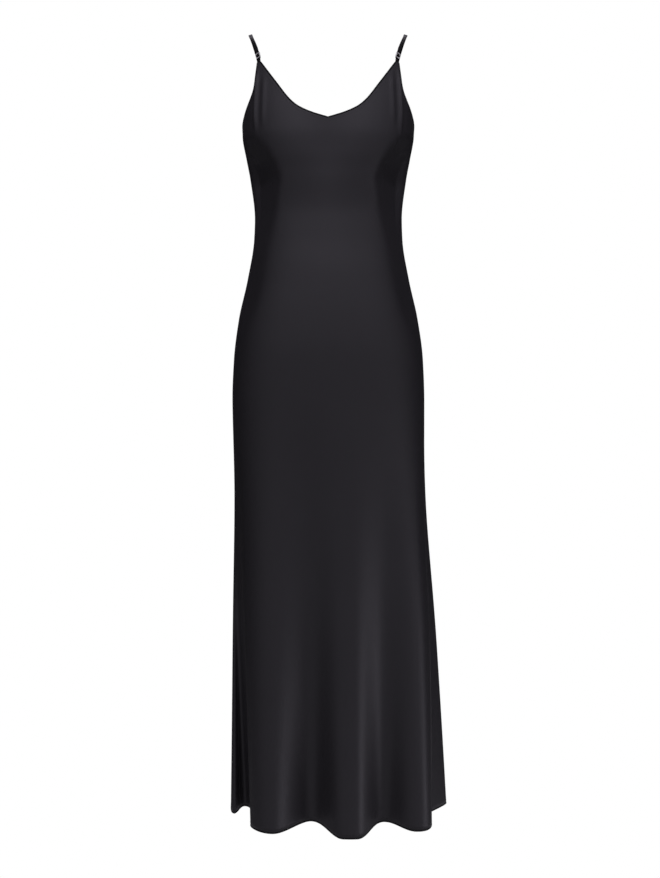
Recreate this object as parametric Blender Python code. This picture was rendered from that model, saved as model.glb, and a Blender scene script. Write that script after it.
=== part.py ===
"""A long bias-cut slip dress in its worn, hollow form, hanging from its two straps.

Metres, +Z up. The front faces -Y and the hem is at the bottom. The origin lies midway
between the two places where the straps rest on the shoulders, at the straps' underside.

The cloth is one closed tube of rings. A place on it is given by `around`, in degrees,
0 at the centre front, 90 at the +X side seam and 180 at the centre back, and by height.
Down to the hip a ring is a squared ellipse. Below, it opens towards the fluted hem.
"""

import math
from bisect import bisect_right
from collections import namedtuple

import bmesh
import bpy
from mathutils import Matrix, Vector

# Cloth: its wall, where the flutes begin and how softly, and how a panel's rows crowd
# towards its top edge
WALL = 0.0015
SEAM_GAP = 0.0003
FLUTES_TOP = -0.60
FLUTE_EASE = 0.25
ROW_BIAS = 1.5
PANEL_ROWS = 20
SHARP_ANGLE = math.radians(40)

# Small steps, in degrees round the ring and in height, that give the cloth's slope
TURN_STEP = 0.2
RISE_STEP = 0.0005

# Neckline and strap points
V_HEIGHT = -0.1593
POINT_HEIGHT = -0.0630
POINT_INNER = 52.7
POINT_OUTER = 55.1
POINT_MIDDLE = (POINT_INNER + POINT_OUTER) / 2
NECK_PASSES = 8

# Straps: the length sewn behind each panel and its clearance, the shoulder's slope, and
# the lengths over which a strap turns from each panel's lie to the shoulder's
STRAP_WIDTH = 0.0064
STRAP_THICK = 0.0010
STRAP_SEWN = 0.012
STRAP_SEAT = 0.0005
SHOULDER_SLOPE = math.radians(18)
FRONT_TWIST = 0.050
BACK_TWIST = 0.080

# The strap's end, doubled back just above the slider
DOUBLED_WIDTH = 0.0076
DOUBLED_THICK = 0.0020
DOUBLED_START = 0.0065
DOUBLED_LENGTH = 0.0090

# How finely a strap is divided along its line
STATION_STEP = 0.0065
FINE_STEP = 0.0008
CURVE_SAMPLES = 40
TRAVEL_REACH = 2

# Sliders: the middle bar's height above the panel's point along the strap, the bars and
# the distance between them, and the strap's clearance beside and between them
SLIDER_UP = 0.0133
SLIDER_WIRE = 0.0010
SLIDER_PITCH = 0.0040
SLIDER_CLEARANCE = 0.0003
SLIDER_WINDOW = STRAP_WIDTH + 2 * SLIDER_CLEARANCE
SLIDER_BEVEL = 0.00025
WEAVE_CLEARANCE = 0.0005
WEAVE = SLIDER_WIRE / 2 + STRAP_THICK / 2 + WEAVE_CLEARANCE

# Half-widths and depths of the smooth body at each height, and how square each ring is
Section = namedtuple("Section", "height right left front back square")
SECTIONS = (
    Section(-1.400, 0.178, 0.166, 0.112, 0.114, 2.3),
    Section(-1.050, 0.171, 0.1645, 0.112, 0.114, 2.3),
    Section(-0.800, 0.1625, 0.1615, 0.112, 0.114, 2.3),
    Section(-0.626, 0.1634, 0.1634, 0.113, 0.116, 2.3),
    Section(-0.557, 0.161, 0.161, 0.113, 0.115, 2.3),
    Section(-0.488, 0.152, 0.1525, 0.110, 0.108, 2.25),
    Section(-0.4195, 0.1367, 0.1372, 0.105, 0.095, 2.2),
    Section(-0.351, 0.1262, 0.1267, 0.099, 0.082, 2.2),
    Section(-0.316, 0.1256, 0.1256, 0.098, 0.080, 2.2),
    Section(-0.2475, 0.1326, 0.1326, 0.106, 0.090, 2.3),
    Section(-0.213, 0.139, 0.139, 0.111, 0.097, 2.5),
    Section(-0.175, 0.1455, 0.1455, 0.1145, 0.103, 2.7),
    Section(-0.130, 0.1475, 0.1475, 0.1135, 0.104, 2.8),
    Section(-0.040, 0.1470, 0.1470, 0.1095, 0.100, 2.8),
)

# Fullness (+) and hollows (-) of the cut, alike on both sides
Shaping = namedtuple("Shaping", "around height spread length out")
SHAPING = (
    Shaping(34, -0.185, 17, 0.050, 0.0080),
    Shaping(0, -0.215, 14, 0.060, -0.0030),
    Shaping(180, -0.330, 30, 0.090, -0.0060),
)

# From the bust to the hip each side of the front falls straight, as one flat plane facing
# SIDE_FACING degrees from the front. `reach` is its distance from the middle at a height.
# Its corner with the front is softened over SIDE_ROUNDING. It dies out towards SIDE_END.
Side = namedtuple("Side", "height reach")
SIDE_FACING = 62
SIDE_ROUNDING = 0.0022
SIDE_END = 92
SIDE_FADE = 14
SIDE_LEAST_COSINE = 0.2
SIDE_PLANE = (
    Side(-0.560, 0.175),
    Side(-0.4785, 0.1435),
    Side(-0.4286, 0.1320),
    Side(-0.379, 0.1235),
    Side(-0.337, 0.1160),
    Side(-0.300, 0.1118),
    Side(-0.262, 0.1118),
    Side(-0.237, 0.1180),
    Side(-0.2125, 0.1300),
    Side(-0.196, 0.1400),
    Side(-0.165, 0.1620),
)

# The hem in plan: one row for each ridge, edge or valley of a flute. `heading` is the
# direction of travel there in degrees, 0 towards +X. `before` and `after` say how broadly
# the hem comes into the row and leaves it.
Flute = namedtuple("Flute", "around across depth height heading before after")
FLUTES = (
    Flute(-154, -0.052, 0.157, -1.346, 180, 0.060, 0.052),
    Flute(-139, -0.090, 0.112, -1.338, 190, 0.040, 0.046),
    Flute(-124, -0.130, 0.144, -1.342, 186, 0.062, 0.056),
    Flute(-106, -0.171, 0.072, -1.334, 274, 0.066, 0.060),
    Flute(-95.5, -0.162, -0.003, -1.336, 330, 0.026, 0.026),
    Flute(-86.5, -0.144, 0.014, -1.327, 10, 0.026, 0.026),
    Flute(-79, -0.127, -0.020, -1.332, 276, 0.040, 0.045),
    Flute(-68, -0.1295, -0.090, -1.338, 274, 0.056, 0.056),
    Flute(-47, -0.0905, -0.132, -1.342, 0, 0.065, 0.070),
    Flute(-18, -0.0285, -0.085, -1.331, 0, 0.060, 0.060),
    Flute(15, 0.0358, -0.143, -1.350, 0, 0.075, 0.052),
    Flute(45, 0.0940, -0.088, -1.331, 0, 0.085, 0.055),
    Flute(65, 0.1470, -0.124, -1.340, 0, 0.062, 0.065),
    Flute(78, 0.1735, -0.090, -1.337, 84, 0.052, 0.050),
    Flute(87, 0.1720, -0.015, -1.334, 78, 0.052, 0.052),
    Flute(101, 0.2055, 0.074, -1.334, 88, 0.060, 0.060),
    Flute(119, 0.1700, 0.136, -1.340, 180, 0.056, 0.050),
    Flute(133, 0.1280, 0.102, -1.336, 172, 0.044, 0.050),
    Flute(149, 0.0790, 0.150, -1.345, 180, 0.075, 0.062),
    Flute(170, 0.0260, 0.104, -1.338, 176, 0.046, 0.060),
)

# The neckline's height above the V, from the centre out to the strap point
Neck = namedtuple("Neck", "across rise")
NECKLINE = (
    Neck(0.0, 0.0),
    Neck(0.0274, 0.0082),
    Neck(0.0490, 0.0180),
    Neck(0.0624, 0.0288),
    Neck(0.0875, 0.0610),
    Neck(0.1130, POINT_HEIGHT - V_HEIGHT),
)

# The top edge from the strap point, round under the arm, to the centre back
Edge = namedtuple("Edge", "around height")
ARMHOLE_AND_BACK = (
    Edge(POINT_OUTER, POINT_HEIGHT),
    Edge(56.7, -0.0966),
    Edge(59.4, -0.1150),
    Edge(65.4, -0.1336),
    Edge(73.0, -0.1490),
    Edge(82.0, -0.1590),
    Edge(90.0, -0.1630),
    Edge(103.0, -0.1655),
    Edge(124.0, -0.1500),
    Edge(134.0, -0.1500),
    Edge(180.0, -0.1700),
)

# Where a panel's columns lie over one quarter of the tube: (from, to, divisions)
Span = namedtuple("Span", "start end divisions")
FRONT_SPANS = (
    Span(0.0, POINT_INNER, 12),
    Span(POINT_INNER, POINT_OUTER, 1),
    Span(POINT_OUTER, 59.4, 2),
    Span(59.4, 90.0, 7),
)
BACK_SPANS = (Span(90.0, 124.0, 7), Span(124.0, 134.0, 2), Span(134.0, 180.0, 9))

# The strap from just above its slider, over the shoulder, down to the back's top edge
Route = namedtuple("Route", "across depth height")
STRAP_ROUTE = (
    Route(0.1200, -0.0745, -0.0400),
    Route(0.1246, -0.0640, -0.0270),
    Route(0.1299, -0.0450, -0.0130),
    Route(0.1325, -0.0240, -0.0043),
    Route(0.1330, 0.0000, STRAP_THICK / 2),
    Route(0.1285, 0.0260, -0.0090),
    Route(0.1220, 0.0480, -0.0290),
    Route(0.1140, 0.0680, -0.0650),
    Route(0.1085, 0.0790, -0.1050),
)
BACK_POINT = 129.0
BACK_POINT_HEIGHT = -0.150

Finish = namedtuple("Finish", "colour roughness metallic sheen")
SATIN = Finish((0.018, 0.017, 0.019, 1.0), 0.5, 0.0, 0.2)
STRAP_SATIN = Finish((0.010, 0.010, 0.011, 1.0), 0.45, 0.0, 0.0)
SILVER = Finish((0.75, 0.75, 0.74, 1.0), 0.25, 1.0, 0.0)


def smooth_between(places, values, at):
    """A smooth curve through the values that never overshoots them."""
    last = len(places) - 2
    left = min(max(bisect_right(places, at) - 1, 0), last)
    slopes = []
    for k in range(max(left - 1, 0), min(left + 1, last) + 1):
        slopes.append((values[k + 1] - values[k]) / (places[k + 1] - places[k]))
    own = slopes[1] if left > 0 else slopes[0]
    before = slopes[0]
    after = slopes[-1]
    start = 2 * before * own / (before + own) if before * own > 0 else 0.0
    end = 2 * after * own / (after + own) if after * own > 0 else 0.0
    width = places[left + 1] - places[left]
    t = min(max((at - places[left]) / width, 0.0), 1.0)
    low = values[left] * (1 + 2 * t) * (1 - t) ** 2 + start * width * t * (1 - t) ** 2
    high = values[left + 1] * t * t * (3 - 2 * t) + end * width * t * t * (t - 1)
    return low + high


def column(rows, name):
    return [getattr(row, name) for row in rows]


SECTION_HEIGHTS = column(SECTIONS, "height")
SIDE_HEIGHTS = column(SIDE_PLANE, "height")


def section_value(name, height):
    return smooth_between(SECTION_HEIGHTS, column(SECTIONS, name), height)


def body_point(around, height):
    """The smooth, unfluted tube."""
    angle = math.radians(around)
    side = section_value("right" if math.sin(angle) >= 0 else "left", height)
    end = section_value("front" if math.cos(angle) >= 0 else "back", height)
    square = section_value("square", height)
    across = (abs(math.sin(angle)) / side) ** square
    along = (abs(math.cos(angle)) / end) ** square
    radius = (across + along) ** (-1 / square)
    turned = abs((around + 180) % 360 - 180)
    for shape in SHAPING:
        beside = (turned - shape.around) / shape.spread
        above = (height - shape.height) / shape.length
        radius += shape.out * math.exp(-beside * beside - above * above)
    reach = smooth_between(SIDE_HEIGHTS, column(SIDE_PLANE, "reach"), height)
    plane = reach / max(math.cos(math.radians(turned - SIDE_FACING)), SIDE_LEAST_COSINE)
    trimmed = SIDE_ROUNDING * math.log1p(math.exp((radius - plane) / SIDE_ROUNDING))
    radius -= trimmed * ease((SIDE_END - turned) / SIDE_FADE)
    return Vector((radius * math.sin(angle), -radius * math.cos(angle), height))


def hem_point(around):
    """The fluted hem: one smooth closed curve through the rows of FLUTES."""
    first = FLUTES[0].around
    turned = (around - first) % 360 + first
    left = bisect_right(column(FLUTES, "around"), turned) - 1
    here = FLUTES[left]
    there = FLUTES[(left + 1) % len(FLUTES)]
    width = (there.around - here.around) % 360
    t = (turned - here.around) / width
    point = Vector((0.0, 0.0, 0.0))
    ends = (
        (here, (1 + 2 * t) * (1 - t) ** 2, here.after * t * (1 - t) ** 2),
        (there, t * t * (3 - 2 * t), there.before * t * t * (t - 1)),
    )
    for row, place, pull in ends:
        heading = math.radians(row.heading)
        travel = Vector((math.cos(heading), math.sin(heading), 0.0))
        point += Vector((row.across, row.depth, row.height)) * place + travel * pull
    return point


def cloth_point(around, height):
    """The outer face of the cloth."""
    point = body_point(around, height)
    hem = hem_point(around)
    fall = (FLUTES_TOP - height) / (FLUTES_TOP - hem.z)
    if fall > 0:
        opened = (1 + FLUTE_EASE) * fall * fall / (fall + FLUTE_EASE)
        point.x += (hem.x - point.x) * opened
        point.y += (hem.y - point.y) * opened
    return point


def cloth_frame(around, height):
    """The outer point, the direction round the ring and the outward normal there."""
    sideways = cloth_point(around + TURN_STEP, height) - cloth_point(around - TURN_STEP, height)
    upwards = cloth_point(around, height + RISE_STEP) - cloth_point(around, height - RISE_STEP)
    normal = sideways.cross(upwards).normalized()
    return cloth_point(around, height), sideways.normalized(), normal


def top_edge(around):
    """The height of the neckline, strap point, armhole or back edge."""
    turned = abs((around + 180) % 360 - 180)
    if turned > POINT_OUTER:
        places = column(ARMHOLE_AND_BACK, "around")
        return smooth_between(places, column(ARMHOLE_AND_BACK, "height"), turned)
    if turned >= POINT_INNER:
        return POINT_HEIGHT
    height = V_HEIGHT
    for _ in range(NECK_PASSES):
        across = body_point(turned, height).x
        rise = smooth_between(column(NECKLINE, "across"), column(NECKLINE, "rise"), across)
        height = V_HEIGHT + rise
    return height


def spread_columns(spans):
    places = [spans[0].start]
    for span in spans:
        step = (span.end - span.start) / span.divisions
        places += [span.start + step * (k + 1) for k in range(span.divisions)]
    return places


def build_panel(name, columns, material):
    """A wall of cloth over the columns, with its side edges half a seam gap short."""
    outer = []
    inner = []
    for around in columns:
        top = top_edge(around)
        bottom = hem_point(around).z
        short = 0.0
        if around == columns[0]:
            short = SEAM_GAP / 2
        if around == columns[-1]:
            short = -SEAM_GAP / 2
        outer.append([])
        inner.append([])
        for row in range(PANEL_ROWS + 1):
            height = top + (bottom - top) * (row / PANEL_ROWS) ** ROW_BIAS
            point, sideways, normal = cloth_frame(around, height)
            point += sideways * short
            outer[-1].append(point)
            inner[-1].append(point - normal * WALL)

    mesh_maker = bmesh.new()
    skins = []
    for skin in (outer, inner):
        skins.append([[mesh_maker.verts.new(point) for point in line] for line in skin])
    out, back = skins
    last = len(columns) - 1
    for c in range(last):
        for r in range(PANEL_ROWS):
            mesh_maker.faces.new((out[c][r], out[c][r + 1], out[c + 1][r + 1], out[c + 1][r]))
            mesh_maker.faces.new((back[c][r], back[c + 1][r], back[c + 1][r + 1], back[c][r + 1]))
        for r in (0, PANEL_ROWS):
            mesh_maker.faces.new((out[c][r], out[c + 1][r], back[c + 1][r], back[c][r]))
    for r in range(PANEL_ROWS):
        for c in (0, last):
            mesh_maker.faces.new((out[c][r], out[c][r + 1], back[c][r + 1], back[c][r]))
    finish_object(name, mesh_maker, material)


def finish_object(name, mesh_maker, material):
    bmesh.ops.recalc_face_normals(mesh_maker, faces=mesh_maker.faces[:])
    mesh = bpy.data.meshes.new(name)
    mesh_maker.to_mesh(mesh)
    mesh_maker.free()
    mesh.shade_smooth()
    mesh.set_sharp_from_angle(angle=SHARP_ANGLE)
    mesh.materials.append(material)
    made = bpy.data.objects.new(name, mesh)
    bpy.context.scene.collection.objects.link(made)
    return made


def sewn_point(around, height):
    """The middle of a strap that lies against the inside of a panel."""
    point, sideways, normal = cloth_frame(around, height)
    return point - normal * (WALL + STRAP_SEAT + STRAP_THICK / 2), sideways


def smooth_curve(points, samples):
    """A smooth curve through unevenly spaced points, `samples` places for each stretch."""
    gaps = [(there - here).length for here, there in zip(points, points[1:])]
    runs = [(points[k + 1] - points[k]) / gaps[k] for k in range(len(gaps))]
    tangents = [runs[0]]
    for k in range(1, len(gaps)):
        share = gaps[k - 1] / (gaps[k - 1] + gaps[k])
        tangents.append(runs[k - 1].lerp(runs[k], share))
    tangents.append(runs[-1])
    curve = []
    for k, gap in enumerate(gaps):
        for step in range(samples):
            t = step / samples
            place = points[k].lerp(points[k + 1], t * t * (3 - 2 * t))
            pull = tangents[k] * (t * (1 - t) ** 2) + tangents[k + 1] * (t * t * (t - 1))
            curve.append(place + pull * gap)
    curve.append(points[-1])
    return curve


class StrapLine:
    """The +X strap's middle line, measured from where it leaves the front panel's top."""

    def __init__(self):
        sewn_low, self.front_cross = sewn_point(POINT_MIDDLE, POINT_HEIGHT - STRAP_SEWN)
        sewn_top, _ = sewn_point(POINT_MIDDLE, POINT_HEIGHT)
        back_top, back_sideways = sewn_point(BACK_POINT, BACK_POINT_HEIGHT)
        back_low, _ = sewn_point(BACK_POINT, BACK_POINT_HEIGHT - STRAP_SEWN)
        self.back_cross = -back_sideways
        points = [sewn_low, sewn_top]
        points += [Vector(row) for row in STRAP_ROUTE]
        points += [back_top, back_low]
        self.points = smooth_curve(points, CURVE_SAMPLES)
        self.lengths = [0.0]
        for here, there in zip(self.points, self.points[1:]):
            self.lengths.append(self.lengths[-1] + (there - here).length)
        offset = self.lengths[CURVE_SAMPLES]
        self.lengths = [length - offset for length in self.lengths]
        self.start = self.lengths[0]
        self.end = self.lengths[-1]

    def frame(self, along):
        """Middle point, travel, cross and outward directions at a length."""
        last = len(self.points) - 1
        k = min(max(bisect_right(self.lengths, along) - 1, 0), last - 1)
        t = (along - self.lengths[k]) / (self.lengths[k + 1] - self.lengths[k])
        point = self.points[k].lerp(self.points[k + 1], t)
        behind = self.points[max(k - TRAVEL_REACH, 0)]
        ahead = self.points[min(k + 1 + TRAVEL_REACH, last)]
        travel = (ahead - behind).normalized()
        free = Vector((math.cos(SHOULDER_SLOPE), 0.0, -math.sin(SHOULDER_SLOPE)))
        from_front = ease((along - SLIDER_UP) / FRONT_TWIST)
        from_back = ease((self.end - STRAP_SEWN - along) / BACK_TWIST)
        cross = self.front_cross.lerp(free, from_front)
        cross = self.back_cross.lerp(cross, from_back)
        cross = (cross - travel * cross.dot(travel)).normalized()
        return point, travel, cross, cross.cross(travel)


def ease(value):
    value = min(max(value, 0.0), 1.0)
    return value * value * (3 - 2 * value)


def weave_offset(along):
    """How far the strap stands in front of its slider's plane (+) or behind it (-)."""
    away = abs(along - SLIDER_UP) / SLIDER_PITCH
    if away <= 1:
        return WEAVE * math.cos(math.pi * away)
    return -WEAVE * (1 - ease(away - 1))


def doubling(along):
    """1 where the strap's end lies doubled above the slider, else 0."""
    inside = along - SLIDER_UP - DOUBLED_START
    return ease(inside / FINE_STEP) * ease((DOUBLED_LENGTH - inside) / FINE_STEP)


def strap_stations(line):
    places = []
    along = line.start
    fine_from = SLIDER_UP - 2 * SLIDER_PITCH
    fine_to = SLIDER_UP + DOUBLED_START + DOUBLED_LENGTH + FINE_STEP
    while along < line.end - STATION_STEP / 2:
        places.append(along)
        fine = fine_from <= along < fine_to
        along += FINE_STEP if fine else STATION_STEP
        if places[-1] < fine_from < along:
            along = fine_from
    places.append(line.end)
    return places


def build_strap(name, line, side, material):
    """A flat strap swept along its line; `side` is 1 for +X and -1 for -X."""
    mesh_maker = bmesh.new()
    rings = []
    for along in strap_stations(line):
        point, _, cross, outward = line.frame(along)
        double = doubling(along)
        half_width = (STRAP_WIDTH + (DOUBLED_WIDTH - STRAP_WIDTH) * double) / 2
        half_thick = STRAP_THICK / 2
        front_thick = half_thick + (DOUBLED_THICK - STRAP_THICK) * double
        middle = point + outward * weave_offset(along)
        corners = (
            middle - cross * half_width - outward * half_thick,
            middle + cross * half_width - outward * half_thick,
            middle + cross * half_width + outward * front_thick,
            middle - cross * half_width + outward * front_thick,
        )
        ring = [mesh_maker.verts.new((side * c.x, c.y, c.z)) for c in corners]
        rings.append(ring)
    for here, there in zip(rings, rings[1:]):
        for k in range(4):
            mesh_maker.faces.new((here[k], here[k - 1], there[k - 1], there[k]))
    mesh_maker.faces.new(rings[0])
    mesh_maker.faces.new(rings[-1])
    finish_object(name, mesh_maker, material)


def build_slider(name, line, side, material):
    """A flat figure-of-eight: three bars and two sides, with two windows."""
    half_length = SLIDER_PITCH + SLIDER_WIRE / 2
    half_width = SLIDER_WINDOW / 2 + SLIDER_WIRE
    bar = SLIDER_WIRE / 2
    across = (-half_width, -SLIDER_WINDOW / 2, SLIDER_WINDOW / 2, half_width)
    along = (-half_length, bar - SLIDER_PITCH, -bar, bar, SLIDER_PITCH - bar, half_length)
    mesh_maker = bmesh.new()
    grid = [[mesh_maker.verts.new((x, y, -bar)) for x in across] for y in along]
    for row in range(len(along) - 1):
        for cell in range(len(across) - 1):
            is_bar = row % 2 == 0
            is_side = cell % 2 == 0
            if is_bar or is_side:
                corners = (grid[row][cell], grid[row][cell + 1])
                corners += (grid[row + 1][cell + 1], grid[row + 1][cell])
                mesh_maker.faces.new(corners)
    raised = bmesh.ops.extrude_face_region(mesh_maker, geom=mesh_maker.faces[:])
    lifted = [item for item in raised["geom"] if isinstance(item, bmesh.types.BMVert)]
    bmesh.ops.translate(mesh_maker, verts=lifted, vec=(0.0, 0.0, SLIDER_WIRE))
    made = finish_object(name, mesh_maker, material)

    bevel = made.modifiers.new("rounded", "BEVEL")
    bevel.width = SLIDER_BEVEL
    bevel.segments = 2
    bevel.limit_method = "ANGLE"

    # The -X slider is the +X one mirrored, which for its even shape is a turn
    point, travel, cross, outward = line.frame(SLIDER_UP)
    mirrored = Vector((side, 1.0, 1.0))
    axes = [axis * mirrored for axis in (cross * side, travel, outward)]
    turned = Matrix(axes).transposed().to_4x4()
    made.matrix_world = Matrix.Translation(point * mirrored) @ turned


def build_material(name, finish):
    material = bpy.data.materials.new(name)
    material.use_nodes = True
    shader = material.node_tree.nodes["Principled BSDF"]
    shader.inputs["Base Color"].default_value = finish.colour
    shader.inputs["Roughness"].default_value = finish.roughness
    shader.inputs["Metallic"].default_value = finish.metallic
    shader.inputs["Sheen Weight"].default_value = finish.sheen
    return material


def build_dress():
    for old in list(bpy.data.objects):
        bpy.data.objects.remove(old, do_unlink=True)

    front_half = spread_columns(FRONT_SPANS)
    front = [-around for around in reversed(front_half[1:])] + front_half
    back_half = spread_columns(BACK_SPANS)
    back = back_half + [360 - around for around in reversed(back_half[:-1])]
    build_panel("front_panel", front, build_material("front satin", SATIN))
    build_panel("back_panel", back, build_material("back satin", SATIN))

    line = StrapLine()
    for word, side in (("left", -1), ("right", 1)):
        satin = build_material(word + " strap satin", STRAP_SATIN)
        build_strap("strap_" + word, line, side, satin)
        metal = build_material(word + " slider metal", SILVER)
        build_slider("slider_" + word, line, side, metal)


build_dress()
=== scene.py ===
"""The looks of the slip dress: its satin, turned edges, stitches, straps, sliders and light.

Metres, +Z up, the front faces -Y. A place on the cloth is given by `around`, in degrees, 0 at
the centre front, 90 at the +X side seam and 180 at the centre back, and by height.
"""

import math
from bisect import bisect_right
from collections import namedtuple

import bmesh
import bpy
import numpy as np
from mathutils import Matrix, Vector


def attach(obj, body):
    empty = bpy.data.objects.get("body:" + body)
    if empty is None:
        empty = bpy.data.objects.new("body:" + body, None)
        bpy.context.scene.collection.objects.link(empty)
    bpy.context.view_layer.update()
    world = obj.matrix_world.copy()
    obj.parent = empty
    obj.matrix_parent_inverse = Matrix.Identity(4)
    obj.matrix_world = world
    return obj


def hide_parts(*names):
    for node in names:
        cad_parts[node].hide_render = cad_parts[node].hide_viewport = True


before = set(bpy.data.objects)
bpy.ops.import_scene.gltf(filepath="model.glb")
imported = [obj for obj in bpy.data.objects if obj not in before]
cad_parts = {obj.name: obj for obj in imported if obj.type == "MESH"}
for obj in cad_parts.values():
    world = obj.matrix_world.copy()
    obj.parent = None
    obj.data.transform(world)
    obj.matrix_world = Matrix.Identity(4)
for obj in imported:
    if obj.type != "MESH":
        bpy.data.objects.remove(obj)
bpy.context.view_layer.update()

# ---------------------------------------------------------------- the dress's own sizes
WALL = 0.0015
FLUTES_TOP = -0.60
FLUTE_EASE = 0.25
V_HEIGHT = -0.1593
POINT_HEIGHT = -0.0630
POINT_INNER = 52.7
POINT_OUTER = 55.1
POINT_MIDDLE = (POINT_INNER + POINT_OUTER) / 2
NECK_PASSES = 8

STRAP_WIDTH = 0.0064
STRAP_THICK = 0.0010
STRAP_SEWN = 0.012
STRAP_SEAT = 0.0005
FRONT_TWIST = 0.050
BACK_TWIST = 0.080
SHOULDER_SLOPE = math.radians(18)
DOUBLED_WIDTH = 0.0076
DOUBLED_START = 0.0065
DOUBLED_LENGTH = 0.0090
BACK_POINT = 129.0
BACK_POINT_HEIGHT = -0.150

SLIDER_UP = 0.0133
SLIDER_WIRE = 0.0010
SLIDER_PITCH = 0.0040
WEAVE_CLEARANCE = 0.0005
WEAVE = SLIDER_WIRE / 2 + STRAP_THICK / 2 + WEAVE_CLEARANCE

# Half-widths and depths of the smooth body at each height, and how square each ring is
Section = namedtuple("Section", "height right left front back square")
SECTIONS = (
    Section(-1.400, 0.178, 0.166, 0.112, 0.114, 2.3),
    Section(-1.050, 0.1724, 0.1654, 0.112, 0.114, 2.3),
    Section(-0.800, 0.1640, 0.1624, 0.112, 0.114, 2.3),
    Section(-0.626, 0.1654, 0.1643, 0.113, 0.116, 2.3),
    Section(-0.557, 0.1630, 0.1616, 0.113, 0.115, 2.3),
    Section(-0.488, 0.1540, 0.1531, 0.110, 0.108, 2.25),
    Section(-0.4195, 0.1390, 0.1380, 0.105, 0.095, 2.2),
    Section(-0.351, 0.1280, 0.1270, 0.099, 0.082, 2.2),
    Section(-0.316, 0.1270, 0.1258, 0.098, 0.080, 2.2),
    Section(-0.2475, 0.1346, 0.1336, 0.106, 0.090, 2.3),
    Section(-0.213, 0.1409, 0.1401, 0.1102, 0.097, 2.5),
    Section(-0.175, 0.1472, 0.1465, 0.1126, 0.103, 2.7),
    Section(-0.130, 0.1484, 0.1470, 0.1128, 0.104, 2.8),
    Section(-0.040, 0.1458, 0.1452, 0.1105, 0.100, 2.8),
)

# Fullness (+) and hollows (-) of the cut, alike on both sides
Shaping = namedtuple("Shaping", "around height spread length out")
SHAPING = (
    Shaping(34, -0.190, 18, 0.066, 0.0036),
    Shaping(0, -0.215, 14, 0.060, -0.0030),
    Shaping(180, -0.330, 30, 0.090, -0.0060),
)

# The side of the front falls straight from the bust to the hip as one flat plane, which
# faces SIDE_FACING degrees from the front. `reach` is its distance from the middle.
Side = namedtuple("Side", "height reach")
SIDE_FACING = 62
SIDE_ROUNDING = 0.0022
SIDE_END = 92
SIDE_FADE = 14
SIDE_LEAST_COSINE = 0.2
SIDE_PLANE = (
    Side(-0.560, 0.175),
    Side(-0.4785, 0.1435),
    Side(-0.4286, 0.1320),
    Side(-0.379, 0.1235),
    Side(-0.337, 0.1160),
    Side(-0.300, 0.1118),
    Side(-0.262, 0.1118),
    Side(-0.237, 0.1180),
    Side(-0.2125, 0.1300),
    Side(-0.196, 0.1400),
    Side(-0.165, 0.1620),
)

# The hem in plan: one row for each ridge, edge or valley of a flute
Flute = namedtuple("Flute", "around across depth height heading before after")
FLUTES = (
    Flute(-154, -0.052, 0.157, -1.346, 180, 0.060, 0.052),
    Flute(-139, -0.090, 0.112, -1.338, 190, 0.040, 0.046),
    Flute(-124, -0.130, 0.144, -1.342, 186, 0.062, 0.056),
    Flute(-106, -0.171, 0.072, -1.334, 274, 0.066, 0.060),
    Flute(-95.5, -0.162, -0.003, -1.336, 330, 0.026, 0.026),
    Flute(-86.5, -0.144, 0.014, -1.327, 10, 0.026, 0.026),
    Flute(-79, -0.127, -0.020, -1.332, 276, 0.040, 0.045),
    Flute(-68, -0.1295, -0.090, -1.338, 274, 0.056, 0.056),
    Flute(-47, -0.0905, -0.132, -1.342, 0, 0.065, 0.062),
    Flute(-18, -0.0285, -0.087, -1.331, 0, 0.052, 0.066),
    Flute(9, 0.0240, -0.1375, -1.3495, -16, 0.058, 0.020),
    Flute(21, 0.0490, -0.1375, -1.3495, 16, 0.020, 0.058),
    Flute(45, 0.0940, -0.092, -1.331, 0, 0.062, 0.055),
    Flute(65, 0.1470, -0.124, -1.340, 0, 0.062, 0.065),
    Flute(78, 0.1735, -0.090, -1.337, 84, 0.052, 0.050),
    Flute(87, 0.1720, -0.015, -1.334, 78, 0.052, 0.052),
    Flute(101, 0.2085, 0.074, -1.334, 88, 0.060, 0.060),
    Flute(119, 0.1700, 0.136, -1.340, 180, 0.056, 0.050),
    Flute(133, 0.1280, 0.102, -1.336, 172, 0.044, 0.050),
    Flute(149, 0.0790, 0.150, -1.345, 180, 0.075, 0.062),
    Flute(170, 0.0260, 0.104, -1.338, 176, 0.046, 0.060),
)

Neck = namedtuple("Neck", "across rise")
NECKLINE = (
    Neck(0.0, 0.0),
    Neck(0.0274, 0.0082),
    Neck(0.0490, 0.0180),
    Neck(0.0624, 0.0288),
    Neck(0.0875, 0.0610),
    Neck(0.1130, POINT_HEIGHT - V_HEIGHT),
)

Edge = namedtuple("Edge", "around height")
ARMHOLE_AND_BACK = (
    Edge(POINT_OUTER, POINT_HEIGHT),
    Edge(56.7, -0.0966),
    Edge(59.4, -0.1150),
    Edge(65.4, -0.1336),
    Edge(73.0, -0.1490),
    Edge(82.0, -0.1590),
    Edge(90.0, -0.1630),
    Edge(103.0, -0.1655),
    Edge(124.0, -0.1500),
    Edge(134.0, -0.1500),
    Edge(180.0, -0.1700),
)

Route = namedtuple("Route", "across depth height")
STRAP_ROUTE = (
    Route(0.1200, -0.0745, -0.0400),
    Route(0.1246, -0.0640, -0.0270),
    Route(0.1299, -0.0450, -0.0130),
    Route(0.1325, -0.0240, -0.0043),
    Route(0.1330, 0.0000, STRAP_THICK / 2),
    Route(0.1285, 0.0260, -0.0090),
    Route(0.1220, 0.0480, -0.0290),
    Route(0.1140, 0.0680, -0.0650),
    Route(0.1085, 0.0790, -0.1050),
)

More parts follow.
